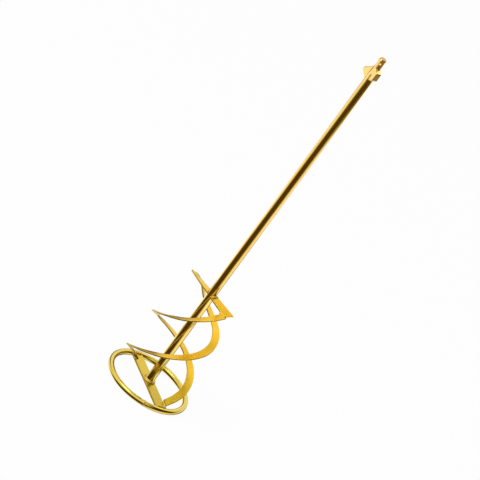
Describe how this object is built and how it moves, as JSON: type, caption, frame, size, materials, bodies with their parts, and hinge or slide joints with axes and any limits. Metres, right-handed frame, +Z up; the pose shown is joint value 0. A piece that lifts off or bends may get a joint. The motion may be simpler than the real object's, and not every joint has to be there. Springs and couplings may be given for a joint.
{
  "type": "spiral mixing paddle",
  "caption": "Helical steel blades wind from a ringed crossbar up to twisted arms on a long round rod that ends in a grooved drive shank.",
  "frame": {"origin": "on the rod's axis, at the floor under the foot ring", "axes": "+Z up the rod from the ring to the shank's tip; +X and +Y level, so that a blade's foot lies at 51 degrees clockwise from +X, seen from above"},
  "size_m": [0.12, 0.12, 0.59],
  "materials": {
    "bright_rod": "bright drawn bar with a yellow zinc finish",
    "satin_strip": "satin flat bar with a yellow zinc finish",
    "weld_metal": "weld beads under the same yellow zinc finish"
  },
  "bodies": {
    "root": {"drive_rod": "bright_rod", "bottom_ring": "bright_rod", "bottom_crossbar": "satin_strip", "upper_arm_first": "satin_strip", "upper_arm_second": "satin_strip", "helical_blade_first": "satin_strip", "helical_blade_second": "satin_strip", "ring_seam_weld": "weld_metal", "rod_foot_weld": "weld_metal", "arm_root_welds": "weld_metal", "blade_head_welds": "weld_metal", "blade_foot_welds": "weld_metal", "crossbar_welds": "weld_metal"}
  },
  "joints": []
}
